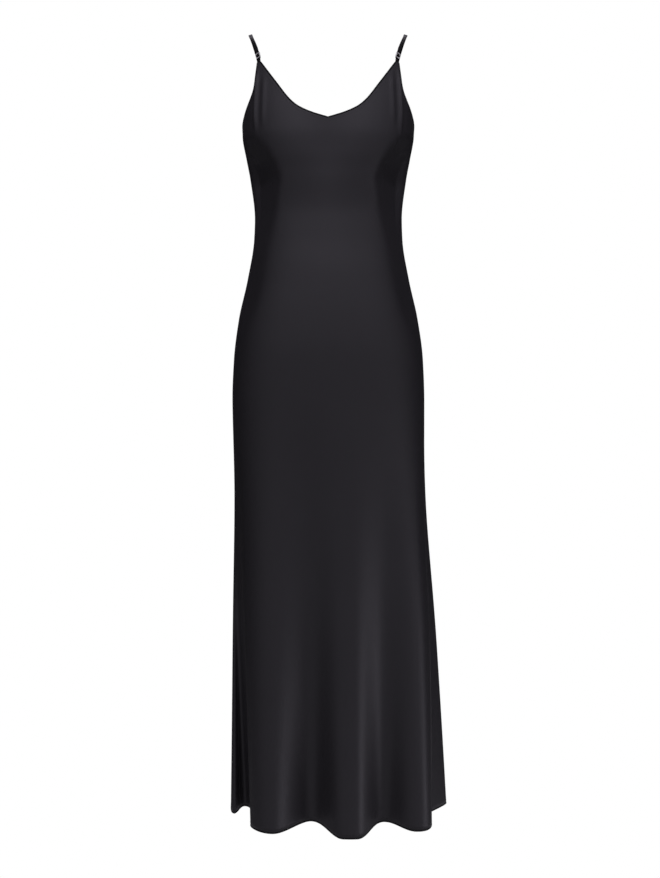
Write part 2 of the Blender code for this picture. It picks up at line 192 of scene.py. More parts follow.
# ---------------------------------------------------------------- sizes of the looks
CLOTH = 0.0007
ROW_BIAS = 1.3
ROWS = 186
SEAM_HALF_GAP = 0.00015
NORMAL_TURN = 0.15
SLOPE_TURN = 0.1
RISE_STEP = 0.0005

# The turned edges stop just short of the side seams at 90 and 270 degrees
FRONT_END = 89.9
BACK_START = 90.1
BACK_END = 269.9
POINT_MARGIN = 0.02
POINT_SKIP = 0.020
NECK_PLACES = 141
BACK_PLACES = 181
HEM_PLACES = 361
SEAM_PLACES = 240
SEAM_END = 0.0020

# A turned edge narrows towards a strap point, beyond its first KEPT_INWARD
NARROW_LENGTH = 0.028
NARROW_LEAST = 0.16
KEPT_INWARD = 0.002

STRAP_SOFTNESS = 0.42
STRAP_CURVE_STEPS = 40
SEWN_STEP = 0.0012
SLIDER_STEP = 0.0004
FREE_STEP = 0.0018
SLIDER_REACH = 2.5 * SLIDER_PITCH
DOUBLED_RINGS = 26
DOUBLED_ROUNDING = 0.07
DOUBLED_LIFT = 0.96 * STRAP_THICK
TACK_SPACING = 0.0024
TACK_LIFT = 1.46 * STRAP_THICK

# Creases of the worn cloth. Each runs from one place to another, `bow` metres off the
# straight line at its middle; `out` is its height (+) or depth (-) at its middle. Only places
# within 180 degrees of the front are reached. Each fades over CREASE_FADE of its length.
CREASE_FADE = 0.3
Crease = namedtuple("Crease", "around height to_around to_height bow width out")
CREASES = (
    # drawn up to the strap points
    Crease(-54.2, -0.064, -56.5, -0.190, 0.000, 0.0042, 0.0038),
    Crease(54.2, -0.064, 56.5, -0.190, 0.000, 0.0042, 0.0037),
    Crease(-49.0, -0.078, -50.0, -0.180, 0.001, 0.0050, 0.0017),
    Crease(49.0, -0.074, 50.0, -0.176, -0.001, 0.0050, 0.0016),
    # short drags at the sides of the bust, under the arms
    Crease(-78.0, -0.176, -66.0, -0.192, 0.001, 0.0022, 0.0010),
    Crease(-80.0, -0.198, -68.0, -0.226, -0.002, 0.0024, 0.0012),
    Crease(-84.0, -0.214, -72.0, -0.238, 0.002, 0.0030, -0.0010),
    Crease(79.0, -0.170, 67.0, -0.196, 0.001, 0.0022, 0.0010),
    Crease(81.0, -0.202, 66.0, -0.214, -0.002, 0.0024, 0.0012),
    Crease(83.0, -0.210, 72.0, -0.240, 0.002, 0.0030, -0.0010),
    # drags under the +X arm, running round to the back
    Crease(96.0, -0.182, 122.0, -0.246, 0.006, 0.0070, 0.0015),
    Crease(98.0, -0.214, 128.0, -0.300, -0.005, 0.0095, 0.0013),
    # soft folds at the small of the back; the last two stop short at the centre back
    Crease(118.0, -0.338, 171.0, -0.352, 0.010, 0.0120, 0.0022),
    Crease(130.0, -0.372, 196.0, -0.384, -0.008, 0.0135, 0.0019),
    Crease(146.0, -0.410, 222.0, -0.404, 0.007, 0.0150, 0.0013),
    # the +X strap's pull on the back's top edge
    Crease(129.5, -0.153, 136.0, -0.232, 0.004, 0.0050, 0.0012),
)


def smooth_between(places, values, at):
    """A smooth curve through the values that never overshoots them."""
    places = np.asarray(places, float)
    values = np.asarray(values, float)
    widths = np.diff(places)
    slopes = np.diff(values) / widths
    tangents = np.concatenate((slopes[:1], np.zeros(len(slopes) - 1), slopes[-1:]))
    for k in range(1, len(slopes)):
        if slopes[k - 1] * slopes[k] > 0:
            tangents[k] = 2 * slopes[k - 1] * slopes[k] / (slopes[k - 1] + slopes[k])
    left = np.clip(np.searchsorted(places, at, side="right") - 1, 0, len(slopes) - 1)
    t = np.clip((at - places[left]) / widths[left], 0.0, 1.0)
    width = widths[left]
    low = values[left] * (1 + 2 * t) * (1 - t) ** 2 + tangents[left] * width * t * (1 - t) ** 2
    high = values[left + 1] * t * t * (3 - 2 * t) + tangents[left + 1] * width * t * t * (t - 1)
    return low + high


def column(rows, name):
    return np.array([getattr(row, name) for row in rows], float)


def ease(value):
    value = np.clip(value, 0.0, 1.0)
    return value * value * (3 - 2 * value)


def turned_from_front(around):
    return np.abs((around + 180) % 360 - 180)


def section_value(name, height):
    return smooth_between(column(SECTIONS, "height"), column(SECTIONS, name), height)


def body_points(around, height):
    """The smooth, unfluted tube."""
    angle = np.radians(around)
    side = np.where(np.sin(angle) >= 0, section_value("right", height), section_value("left", height))
    end = np.where(np.cos(angle) >= 0, section_value("front", height), section_value("back", height))
    square = section_value("square", height)
    across = (np.abs(np.sin(angle)) / side) ** square
    along = (np.abs(np.cos(angle)) / end) ** square
    radius = (across + along) ** (-1 / square)
    turned = turned_from_front(around)
    for shape in SHAPING:
        beside = (turned - shape.around) / shape.spread
        above = (height - shape.height) / shape.length
        radius = radius + shape.out * np.exp(-beside * beside - above * above)
    reach = smooth_between(column(SIDE_PLANE, "height"), column(SIDE_PLANE, "reach"), height)
    plane = reach / np.maximum(np.cos(np.radians(turned - SIDE_FACING)), SIDE_LEAST_COSINE)
    beyond = (radius - plane) / SIDE_ROUNDING
    trimmed = SIDE_ROUNDING * np.logaddexp(0.0, beyond)
    radius = radius - trimmed * ease((SIDE_END - turned) / SIDE_FADE)
    return np.stack((radius * np.sin(angle), -radius * np.cos(angle), height + 0 * angle), axis=-1)


def hem_points(around):
    """The fluted hem: one smooth closed curve through the rows of FLUTES."""
    places = column(FLUTES, "around")
    heading = np.radians(column(FLUTES, "heading"))
    travel = np.stack((np.cos(heading), np.sin(heading), 0 * heading), axis=-1)
    rows = np.stack([column(FLUTES, name) for name in ("across", "depth", "height")], axis=-1)
    turned = (around - places[0]) % 360 + places[0]
    here = np.searchsorted(places, turned, side="right") - 1
    there = (here + 1) % len(FLUTES)
    t = (turned - places[here]) / ((places[there] - places[here]) % 360)
    t = t[..., None]
    leave = column(FLUTES, "after")[here][..., None] * travel[here]
    arrive = column(FLUTES, "before")[there][..., None] * travel[there]
    start = rows[here] * (1 + 2 * t) * (1 - t) ** 2 + leave * t * (1 - t) ** 2
    return start + rows[there] * t * t * (3 - 2 * t) + arrive * t * t * (t - 1)


def smooth_cloth(around, height):
    """The outer face of the cloth without its creases."""
    points = body_points(around, height)
    hem = hem_points(around)
    fall = np.clip((FLUTES_TOP - height) / (FLUTES_TOP - hem[..., 2]), 0.0, None)
    opened = (1 + FLUTE_EASE) * fall * fall / (fall + FLUTE_EASE)
    points[..., :2] += (hem[..., :2] - points[..., :2]) * opened[..., None]
    return points


def crease_heights(around, height):
    """How far the creases stand out (+) or sink in (-)."""
    around = (around + 180) % 360 - 180
    total = np.zeros(np.broadcast(around, height).shape)
    for crease in CREASES:
        middle = (crease.around + crease.to_around) / 2
        level = (crease.height + crease.to_height) / 2
        ends = smooth_cloth(np.array([middle - 1.0, middle + 1.0]), np.array([level, level]))
        metres = np.linalg.norm(ends[1] - ends[0]) / 2
        run = np.array([(crease.to_around - crease.around) * metres, crease.to_height - crease.height])
        length = np.linalg.norm(run)
        run = run / length
        beside = (around - crease.around) * metres
        below = height - crease.height
        along = (beside * run[0] + below * run[1]) / length
        away = beside * -run[1] + below * run[0]
        inside = np.clip(along, 0.0, 1.0)
        away = away - crease.bow * 4 * inside * (1 - inside)
        fade = ease(along / CREASE_FADE) * ease((1 - along) / CREASE_FADE)
        total = total + crease.out * fade * np.exp(-(away / crease.width) ** 2)
    return total


def normals_of(surface, around, height):
    sideways = surface(around + NORMAL_TURN, height) - surface(around - NORMAL_TURN, height)
    upwards = surface(around, height + RISE_STEP) - surface(around, height - RISE_STEP)
    normal = np.cross(sideways, upwards)
    return normal / np.linalg.norm(normal, axis=-1, keepdims=True)


def cloth_points(around, height):
    """The outer face of the cloth with its creases."""
    out = crease_heights(around, height)[..., None]
    return smooth_cloth(around, height) + normals_of(smooth_cloth, around, height) * out


def top_edge(around):
    """The height of the neckline, strap point, armhole or back edge."""
    turned = turned_from_front(around)
    rows = ARMHOLE_AND_BACK
    outer = smooth_between(column(rows, "around"), column(rows, "height"), turned)
    height = np.full(np.shape(turned), V_HEIGHT)
    for _ in range(NECK_PASSES):
        across = body_points(turned, height)[..., 0]
        rise = smooth_between(column(NECKLINE, "across"), column(NECKLINE, "rise"), across)
        height = V_HEIGHT + rise
    height = np.where(turned >= POINT_INNER, POINT_HEIGHT, height)
    return np.where(turned > POINT_OUTER, outer, height)


# ---------------------------------------------------------------- mesh helpers
def link_mesh(name, points, faces, uv=None):
    mesh = bpy.data.meshes.new(name)
    mesh.from_pydata([tuple(p) for p in points], [], faces)
    mesh.validate()
    mesh.shade_smooth()
    if uv is not None:
        layer = mesh.uv_layers.new(name="cloth")
        corners = np.empty(len(mesh.loops), dtype=np.int32)
        mesh.loops.foreach_get("vertex_index", corners)
        layer.data.foreach_set("uv", np.asarray(uv, np.float32)[corners].ravel())
    made = bpy.data.objects.new(name, mesh)
    bpy.context.scene.collection.objects.link(made)
    return made


def finish_piece(piece, material, replaced=None):
    piece.data.materials.append(material)
    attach(piece, "root")
    if replaced:
        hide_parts(replaced)
    return piece


def spread(spans):
    """Places over spans of (start, end, divisions)."""
    places = [spans[0][0]]
    for start, end, divisions in spans:
        places += [start + (end - start) * (k + 1) / divisions for k in range(divisions)]
    return np.array(places)


# ---------------------------------------------------------------- cloth
FRONT_HALF = spread((
    (0.0, 40.0, 44),
    (40.0, POINT_INNER, 18),
    (POINT_INNER, POINT_OUTER, 4),
    (POINT_OUTER, 90.0, 60),
))
BACK_HALF = spread(((90.0, 120.0, 48), (120.0, 180.0, 76)))


def panel_grid(columns):
    """Places over a panel, one row of them for each column."""
    top = top_edge(columns)
    bottom = hem_points(columns)[..., 2]
    share = (np.arange(ROWS + 1) / ROWS) ** ROW_BIAS
    height = top[:, None] + (bottom - top)[:, None] * share[None, :]
    around = np.repeat(columns[:, None], ROWS + 1, axis=1)
    return around, height


def build_panel(name, columns, material, replaced):
    around, height = panel_grid(columns)
    outer = cloth_points(around, height)
    normal = normals_of(cloth_points, around, height)
    sideways = outer[1] - outer[0]
    outer[0] += SEAM_HALF_GAP * sideways / np.linalg.norm(sideways, axis=-1, keepdims=True)
    sideways = outer[-1] - outer[-2]
    outer[-1] -= SEAM_HALF_GAP * sideways / np.linalg.norm(sideways, axis=-1, keepdims=True)
    inner = outer - normal * CLOTH

    steps = np.linalg.norm(np.diff(outer, axis=0), axis=-1)
    across = np.concatenate((np.zeros((1, steps.shape[1])), np.cumsum(steps, axis=0)))
    across -= across[len(columns) // 2]
    drops = np.linalg.norm(np.diff(outer, axis=1), axis=-1)
    down = np.concatenate((np.zeros((drops.shape[0], 1)), np.cumsum(drops, axis=1)), axis=1)
    uv = np.stack((across, down - height[:, :1]), axis=-1).reshape(-1, 2)

    wide = len(columns)
    tall = ROWS + 1
    count = wide * tall
    faces = []
    for c in range(wide - 1):
        for r in range(ROWS):
            a = c * tall + r
            b = a + tall
            faces.append((a, a + 1, b + 1, b))
            faces.append((count + a, count + b, count + b + 1, count + a + 1))
        for r, flip in ((0, True), (ROWS, False)):
            a = c * tall + r
            b = a + tall
            rim = (a, b, count + b, count + a)
            faces.append(rim if flip else rim[::-1])
    for c, flip in ((0, False), (wide - 1, True)):
        for r in range(ROWS):
            a = c * tall + r
            rim = (a, count + a, count + a + 1, a + 1)
            faces.append(rim[::-1] if flip else rim)
    points = np.concatenate((outer.reshape(-1, 3), inner.reshape(-1, 3)))
    piece = link_mesh(name, points, faces, np.concatenate((uv, uv)))
    return finish_piece(piece, material, replaced)


# ---------------------------------------------------------------- edges, seams and stitches
# Sections, in metres: `inward` from the edge along the cloth, `out` from its outer face
Rim = namedtuple("Rim", "inward out")
TURNED_EDGE = (
    Rim(0.0017, 0.00005),
    Rim(0.0003, 0.00030),
    Rim(-0.0005, 0.00010),
    Rim(-0.0009, -0.0006),
    Rim(-0.0006, -0.0013),
    Rim(0.0005, -0.0016),
    Rim(0.0070, -0.0015),
    Rim(0.0074, -0.0011),
    Rim(0.0070, -0.00078),
    Rim(-0.0002, -0.00078),
    Rim(-0.0002, 0.00003),
    Rim(0.0017, 0.00003),
)
INSIDE_SEAM = (
    Rim(-0.0010, -0.00085),
    Rim(-0.0010, -0.0014),
    Rim(0.0002, -0.0022),
    Rim(0.0068, -0.0021),
    Rim(0.0074, -0.0016),
    Rim(0.0068, -0.0010),
    Rim(0.0002, -0.00085),
)
STITCH_PITCH = 0.0030
STITCH_LENGTH = 0.0022
STITCH_RADIUS = 0.00022
STITCH_INWARD = 0.0055
STITCH_SIDES = 6

# Rings along one stitch: place along its half length, and thickness and lift in radii
StitchRing = namedtuple("StitchRing", "share thick lift")
STITCH_RINGS = (
    StitchRing(-1.0, 0.25, -0.6),
    StitchRing(-0.8, 0.8, -0.1),
    StitchRing(-0.3, 1.0, 0.25),
    StitchRing(0.3, 1.0, 0.25),
    StitchRing(0.8, 0.8, -0.1),
    StitchRing(1.0, 0.25, -0.6),
)


class ClothEdge:
    """Places along an edge of the cloth, and the way in from it over the surface."""

    def __init__(self, around, height, side):
        self.around = np.asarray(around, float)
        self.height = np.asarray(height, float)
        points = cloth_points(self.around, self.height)
        self.travel = np.gradient(points, axis=0)
        self.travel /= np.linalg.norm(self.travel, axis=-1, keepdims=True)
        normal = normals_of(cloth_points, self.around, self.height)
        inward = side * np.cross(self.travel, normal)
        ahead = cloth_points(self.around + SLOPE_TURN, self.height)
        behind = cloth_points(self.around - SLOPE_TURN, self.height)
        above = cloth_points(self.around, self.height + RISE_STEP)
        below = cloth_points(self.around, self.height - RISE_STEP)
        sideways = (ahead - behind) / (2 * SLOPE_TURN)
        upwards = (above - below) / (2 * RISE_STEP)
        side_side = (sideways * sideways).sum(axis=-1)
        side_up = (sideways * upwards).sum(axis=-1)
        up_up = (upwards * upwards).sum(axis=-1)
        side_in = (sideways * inward).sum(axis=-1)
        up_in = (upwards * inward).sum(axis=-1)
        shared = side_side * up_up - side_up * side_up
        self.turn_in = (up_up * side_in - side_up * up_in) / shared
        self.rise_in = (side_side * up_in - side_up * side_in) / shared
        steps = np.linalg.norm(np.diff(points, axis=0), axis=-1)
        self.length = np.concatenate(([0.0], np.cumsum(steps)))

    def places(self, inward, out):
        around = self.around + self.turn_in * inward
        height = self.height + self.rise_in * inward
        return cloth_points(around, height) + normals_of(cloth_points, around, height) * out


def narrowing(edge, ends):
    """How much of its full width a strip keeps: it narrows towards a strap point."""
    left = edge.length if ends[0] else edge.length * 0 + 1
    right = edge.length[-1] - edge.length if ends[1] else edge.length * 0 + 1
    return NARROW_LEAST + (1 - NARROW_LEAST) * ease(np.minimum(left, right) / NARROW_LENGTH)


def sweep(name, rings, material):
    """A closed tube through rings of points, with a UV map in metres."""
    rings = np.asarray(rings)
    count, around = rings.shape[:2]
    across = np.concatenate(([0.0], np.cumsum(np.linalg.norm(np.diff(rings[0], axis=0), axis=-1))))
    along = np.concatenate(([0.0], np.cumsum(np.linalg.norm(np.diff(rings[:, 0], axis=0), axis=-1))))
    uv = np.stack(np.broadcast_arrays(across[None, :], along[:, None]), axis=-1).reshape(-1, 2)
    faces = []
    for r in range(count - 1):
        for k in range(around):
            a = r * around + k
            b = r * around + (k + 1) % around
            faces.append((a, b, b + around, a + around))
    faces.append(tuple(range(around))[::-1])
    faces.append(tuple((count - 1) * around + k for k in range(around)))
    made = link_mesh(name, rings.reshape(-1, 3), faces, uv)
    mend_normals(made)
    return finish_piece(made, material)


def mend_normals(made):
    maker = bmesh.new()
    maker.from_mesh(made.data)
    bmesh.ops.recalc_face_normals(maker, faces=maker.faces[:])
    maker.to_mesh(made.data)
    maker.free()


def build_strip(name, edge, profile, keep, material):
    rings = []
    for rim in profile:
        inward = rim.inward
        if inward >= KEPT_INWARD:
            inward = KEPT_INWARD + (inward - KEPT_INWARD) * keep
        rings.append(edge.places(inward, rim.out))
    return sweep(name, np.stack(rings, axis=1), material)


def stitch_form():
    """One stitch: a short thread that dips at both ends, along X, with Z outwards."""
    points = []
    for ring in STITCH_RINGS:
        for k in range(STITCH_SIDES):
            angle = math.radians(360 // STITCH_SIDES * k)
            points.append((
                ring.share * STITCH_LENGTH / 2,
                math.cos(angle) * STITCH_RADIUS * ring.thick,
                (math.sin(angle) * ring.thick + ring.lift) * STITCH_RADIUS,
            ))
    faces = []
    for r in range(len(STITCH_RINGS) - 1):
        for k in range(STITCH_SIDES):
            a = STITCH_SIDES * r + k
            b = STITCH_SIDES * r + (k + 1) % STITCH_SIDES
            faces.append((a, b, b + STITCH_SIDES, a + STITCH_SIDES))
    faces.append(tuple(range(STITCH_SIDES))[::-1])
    faces.append(tuple(range(len(points) - STITCH_SIDES, len(points))))
    return np.array(points), faces


def build_stitches(name, runs, material):
    """Runs of (points, travel, outward), one stitch at each place."""
    form, form_faces = stitch_form()
    points = []
    faces = []
    for places, travel, outward in runs:
        for place, along, up in zip(places, travel, outward):
            up = up - along * np.dot(up, along)
            up = up / np.linalg.norm(up)
            aside = np.cross(up, along)
            base = len(points)
            points += list(place + form[:, :1] * along + form[:, 1:2] * aside + form[:, 2:] * up)
            faces += [tuple(base + k for k in face) for face in form_faces]
    made = link_mesh(name, points, faces)
    mend_normals(made)
    return finish_piece(made, material)


def stitch_run(edge, inward, skip=(0.0, 0.0)):
    """Evenly spaced places at `inward` metres from an edge."""
    line = edge.places(inward, 0.0)
    lengths = np.concatenate(([0.0], np.cumsum(np.linalg.norm(np.diff(line, axis=0), axis=-1))))
    wanted = np.arange(skip[0] + STITCH_PITCH, lengths[-1] - skip[1] - STITCH_PITCH, STITCH_PITCH)
    places = np.stack([np.interp(wanted, lengths, line[:, k]) for k in range(3)], axis=-1)
    travel = np.stack([np.interp(wanted, lengths, edge.travel[:, k]) for k in range(3)], axis=-1)
    travel /= np.linalg.norm(travel, axis=-1, keepdims=True)
    around = np.interp(wanted, lengths, edge.around + edge.turn_in * inward)
    height = np.interp(wanted, lengths, edge.height + edge.rise_in * inward)
    return places, travel, normals_of(cloth_points, around, height)


# ---------------------------------------------------------------- straps
def sewn_point(around, height):
    """The middle of a strap that lies against the inside of a panel, and the way round there."""
    around = np.array([around])
    height = np.array([height])
    point = smooth_cloth(around, height)[0]
    ahead = smooth_cloth(around + SLOPE_TURN, height)[0]
    normal = normals_of(smooth_cloth, around, height)[0]
    middle = point - normal * (WALL + STRAP_SEAT + STRAP_THICK / 2)
    return Vector(middle), Vector(ahead - point).normalized()


def smooth_curve(points, samples):
    gaps = [(there - here).length for here, there in zip(points, points[1:])]
    runs = [(points[k + 1] - points[k]) / gaps[k] for k in range(len(gaps))]
    tangents = [runs[0]]
    for k in range(1, len(gaps)):
        tangents.append(runs[k - 1].lerp(runs[k], gaps[k - 1] / (gaps[k - 1] + gaps[k])))
    tangents.append(runs[-1])
    curve = []
    for k, gap in enumerate(gaps):
        for step in range(samples):
            t = step / samples
            place = points[k].lerp(points[k + 1], t * t * (3 - 2 * t))
            leave = tangents[k] * (t * (1 - t) ** 2)
            arrive = tangents[k + 1] * (t * t * (t - 1))
            curve.append(place + (leave + arrive) * gap)
    curve.append(points[-1])
    return curve


class StrapLine:
    """The +X strap's middle line, measured from where it leaves the front panel's top."""

    def __init__(self):
        sewn_low, self.front_cross = sewn_point(POINT_MIDDLE, POINT_HEIGHT - STRAP_SEWN)
        sewn_top, _ = sewn_point(POINT_MIDDLE, POINT_HEIGHT)
        back_top, back_sideways = sewn_point(BACK_POINT, BACK_POINT_HEIGHT)
        back_low, _ = sewn_point(BACK_POINT, BACK_POINT_HEIGHT - STRAP_SEWN)
        self.back_cross = -back_sideways
        route = [Vector(row) for row in STRAP_ROUTE]
        self.points = smooth_curve([sewn_low, sewn_top, *route, back_top, back_low], STRAP_CURVE_STEPS)
        lengths = [0.0]
        for here, there in zip(self.points, self.points[1:]):
            lengths.append(lengths[-1] + (there - here).length)
        self.lengths = [length - lengths[STRAP_CURVE_STEPS] for length in lengths]
        self.start = self.lengths[0]
        self.end = self.lengths[-1]

    def frame(self, along):
        """Middle point, travel, cross and outward directions at a length."""
        last = len(self.points) - 1
        k = min(max(bisect_right(self.lengths, along) - 1, 0), last - 1)
        t = (along - self.lengths[k]) / (self.lengths[k + 1] - self.lengths[k])
        point = self.points[k].lerp(self.points[k + 1], t)
        travel = (self.points[min(k + 3, last)] - self.points[max(k - 2, 0)]).normalized()
        free = Vector((math.cos(SHOULDER_SLOPE), 0.0, -math.sin(SHOULDER_SLOPE)))
        cross = self.front_cross.lerp(free, float(ease((along - SLIDER_UP) / FRONT_TWIST)))
        from_back = float(ease((self.end - STRAP_SEWN - along) / BACK_TWIST))
        cross = self.back_cross.lerp(cross, from_back)
        cross = (cross - travel * cross.dot(travel)).normalized()
        return point, travel, cross, cross.cross(travel)


def weave_offset(along):
    """How far the strap stands in front of its slider's plane (+) or behind it (-)."""
    away = abs(along - SLIDER_UP) / SLIDER_PITCH
    if away <= 1:
        return WEAVE * math.cos(math.pi * away)
    return -WEAVE * (1 - float(ease(away - 1)))


def strap_ring(line, along, side, width, thick, lift):
    """Twelve points round a flat strap with soft edges."""
    point, _, cross, outward = line.frame(along)
    middle = point + outward * (weave_offset(along) + lift)
    soft = thick * STRAP_SOFTNESS
    ring = []
    for quarter, (x, y) in enumerate(((-1, -1), (1, -1), (1, 1), (-1, 1))):
        corner = middle + cross * (x * (width / 2 - soft)) + outward * (y * (thick / 2 - soft))
        for part in (0.0, 0.5, 1.0):
            turn = math.radians(180 + 90 * quarter + 90 * part)
            spot = corner + cross * (soft * math.cos(turn)) + outward * (soft * math.sin(turn))
            ring.append((side * spot.x, spot.y, spot.z))
    return ring


def build_strap(word, line, side, material, replaced):
    fine_from = SLIDER_UP - SLIDER_REACH
    fine_to = SLIDER_UP + DOUBLED_START + DOUBLED_LENGTH
    places = np.concatenate((
        np.arange(line.start, fine_from, SEWN_STEP),
        np.arange(fine_from, fine_to, SLIDER_STEP),
        np.arange(fine_to, line.end, FREE_STEP),
        [line.end],
    ))
    rings = [strap_ring(line, along, side, STRAP_WIDTH, STRAP_THICK, 0.0) for along in places]
    strap = sweep("strap_" + word + "_satin", rings, material)
    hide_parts(replaced)

    # the end, doubled back over the strap above the slider and sewn down
    start = SLIDER_UP + DOUBLED_START
    rings = []
    for share in np.linspace(0.0, 1.0, DOUBLED_RINGS):
        along = start + DOUBLED_LENGTH * share
        swell = float(ease(share / DOUBLED_ROUNDING) * ease((1 - share) / DOUBLED_ROUNDING))
        width = STRAP_WIDTH + (DOUBLED_WIDTH - STRAP_WIDTH) * (0.4 + 0.6 * swell)
        thick = STRAP_THICK * (0.55 + 0.45 * swell)
        rings.append(strap_ring(line, along, side, width, thick, DOUBLED_LIFT))
    sweep("strap_" + word + "_end", rings, material)


def tack_runs(line, side):
    """Rows of stitches across the strap: at its doubled end, and where it is sewn down."""
    mirror = np.array((side, 1.0, 1.0))
    runs = []
    doubled = SLIDER_UP + DOUBLED_START
    back_top = line.end - STRAP_SEWN
    behind = -STRAP_THICK * 0.5
    for along, lift in (
        (doubled + DOUBLED_LENGTH * 0.72, TACK_LIFT),
        (doubled + DOUBLED_LENGTH * 0.84, TACK_LIFT),
        (-0.0060, behind),
        (-0.0085, behind),
        (back_top + 0.0050, behind),
        (back_top + 0.0078, behind),
    ):
        point, _, cross, outward = line.frame(along)
        middle = point + outward * (weave_offset(along) + lift)
        spots = [middle + cross * ((k - 0.5) * TACK_SPACING) for k in range(2)]
        up = outward if lift > 0 else -outward
        count = len(spots)
        runs.append((
            [np.array(spot) * mirror for spot in spots],
            [np.array(cross) * mirror] * count,
            [np.array(up) * mirror] * count,
        ))
    return runs


# ---------------------------------------------------------------- materials
FLOOR_HEIGHT = -2.15
ROOM_BRIGHT = 0.330
ROOM_DARK = 0.0
LIGHT_TINT = (1.0, 0.95, 1.08)
CHARCOAL = (0.0200, 0.0190, 0.0215, 1.0)
CHARCOAL_LIGHT = (0.0260, 0.0248, 0.0275, 1.0)


def new_material(name, colour, roughness, metallic=0.0):
    material = bpy.data.materials.new(name)
    material.use_nodes = True
    nodes = material.node_tree.nodes
    shader = nodes["Principled BSDF"]
    shader.inputs["Base Color"].default_value = colour
    shader.inputs["Roughness"].default_value = roughness
    shader.inputs["Metallic"].default_value = metallic
    return material, nodes, material.node_tree.links, shader


def satin(name, dark, light, low_gloss, high_gloss):
    """Charcoal satin cut on the bias: a fine diagonal weave, slight slubs and a soft sheen."""
    material, nodes, links, shader = new_material(name, dark, low_gloss)
    place = nodes.new("ShaderNodeTexCoord")
    shade = nodes.new("ShaderNodeTexNoise")
    shade.inputs["Scale"].default_value = 9.0
    shade.inputs["Detail"].default_value = 6.0
    links.new(place.outputs["Object"], shade.inputs["Vector"])
    tint = nodes.new("ShaderNodeMix")
    tint.data_type = "RGBA"
    tint.inputs["A"].default_value = dark
    tint.inputs["B"].default_value = light
    links.new(shade.outputs["Fac"], tint.inputs["Factor"])
    links.new(tint.outputs["Result"], shader.inputs["Base Color"])

    gloss = shader.inputs["Roughness"]
    noise_range(nodes, links, place.outputs["Object"], 420.0, low_gloss, high_gloss, gloss, detail=3.0)
    wave_bump(nodes, links, shader, place.outputs["UV"], 45.0, 700.0, 0.05, 0.0001, distortion=0.6)
    shader.inputs["Sheen Weight"].default_value = 0.02
    shader.inputs["Sheen Roughness"].default_value = 0.35
    return material


def wave_bump(nodes, links, shader, place, turned, scale, strength, distance, distortion=0.8):
    """A fine regular relief in the shader's normal."""
    turn = nodes.new("ShaderNodeMapping")
    turn.inputs["Rotation"].default_value = (0.0, 0.0, math.radians(turned))
    links.new(place, turn.inputs["Vector"])
    wave = nodes.new("ShaderNodeTexWave")
    wave.inputs["Scale"].default_value = scale
    wave.inputs["Distortion"].default_value = distortion
    links.new(turn.outputs["Vector"], wave.inputs["Vector"])
    bump = nodes.new("ShaderNodeBump")
    bump.inputs["Strength"].default_value = strength
    bump.inputs["Distance"].default_value = distance
    links.new(wave.outputs["Fac"], bump.inputs["Height"])
    links.new(bump.outputs["Normal"], shader.inputs["Normal"])


def noise_range(nodes, links, place, scale, low, high, socket, detail=4.0):
    """Slight variation of a value over the surface."""
    noise = nodes.new("ShaderNodeTexNoise")
    noise.inputs["Scale"].default_value = scale
    noise.inputs["Detail"].default_value = detail
    links.new(place, noise.inputs["Vector"])
    span = nodes.new("ShaderNodeMapRange")
    span.inputs["To Min"].default_value = low
    span.inputs["To Max"].default_value = high
    links.new(noise.outputs["Fac"], span.inputs["Value"])
    links.new(span.outputs["Result"], socket)


def ribbon(name):
    """Near-black satin ribbon with a fine rib across it."""
    material, nodes, links, shader = new_material(name, (0.0040, 0.0039, 0.0045, 1.0), 0.45)
    shader.inputs["Specular IOR Level"].default_value = 0.22
    place = nodes.new("ShaderNodeTexCoord")
    noise_range(nodes, links, place.outputs["Object"], 300.0, 0.42, 0.56, shader.inputs["Roughness"])
    wave_bump(nodes, links, shader, place.outputs["UV"], 90.0, 420.0, 0.25, 0.0001)
    return material


def shaded_edge_satin(name):
    """The satin where it is folded narrow at an edge, with painted shade: a darker colour for the dark
    line of shade along the edges, and less sheen.
    """
    # painted shade: this base colour is darker than the cloth's own charcoal
    material, nodes, links, shader = new_material(name, (0.0065, 0.0062, 0.0070, 1.0), 0.6)
    shader.inputs["Specular IOR Level"].default_value = 0.2
    place = nodes.new("ShaderNodeTexCoord")
    noise_range(nodes, links, place.outputs["Object"], 350.0, 0.52, 0.66, shader.inputs["Roughness"])
    wave_bump(nodes, links, shader, place.outputs["UV"], 45.0, 650.0, 0.1, 0.0001)
    return material


def thread(name):
    """Twisted charcoal sewing thread."""
    material, nodes, links, shader = new_material(name, (0.016, 0.015, 0.018, 1.0), 0.6)
    place = nodes.new("ShaderNodeTexCoord")
    noise_range(nodes, links, place.outputs["Object"], 900.0, 0.50, 0.70, shader.inputs["Roughness"])
    wave_bump(nodes, links, shader, place.outputs["Object"], 35.0, 900.0, 0.3, 0.0001)
    return material


def silver(name):
    """Polished silver-coloured wire with light wear."""
    material, nodes, links, shader = new_material(name, (0.95, 0.95, 0.94, 1.0), 0.32, 0.30)
    place = nodes.new("ShaderNodeTexCoord")
    noise_range(nodes, links, place.outputs["Object"], 500.0, 0.20, 0.38, shader.inputs["Roughness"])
    wave_bump(nodes, links, shader, place.outputs["Object"], 10.0, 1200.0, 0.04, 0.00005)
    return material


# ---------------------------------------------------------------- camera and light
def build_camera():
    data = bpy.data.cameras.new("camera")
    data.lens = 71.5
    data.sensor_width = 36.0
    made = bpy.data.objects.new("camera", data)
    made.location = (0.0034, -3.0, -0.693)
    made.rotation_euler = (math.radians(90), 0.0, 0.0)
    bpy.context.scene.collection.objects.link(made)
    bpy.context.scene.camera = made


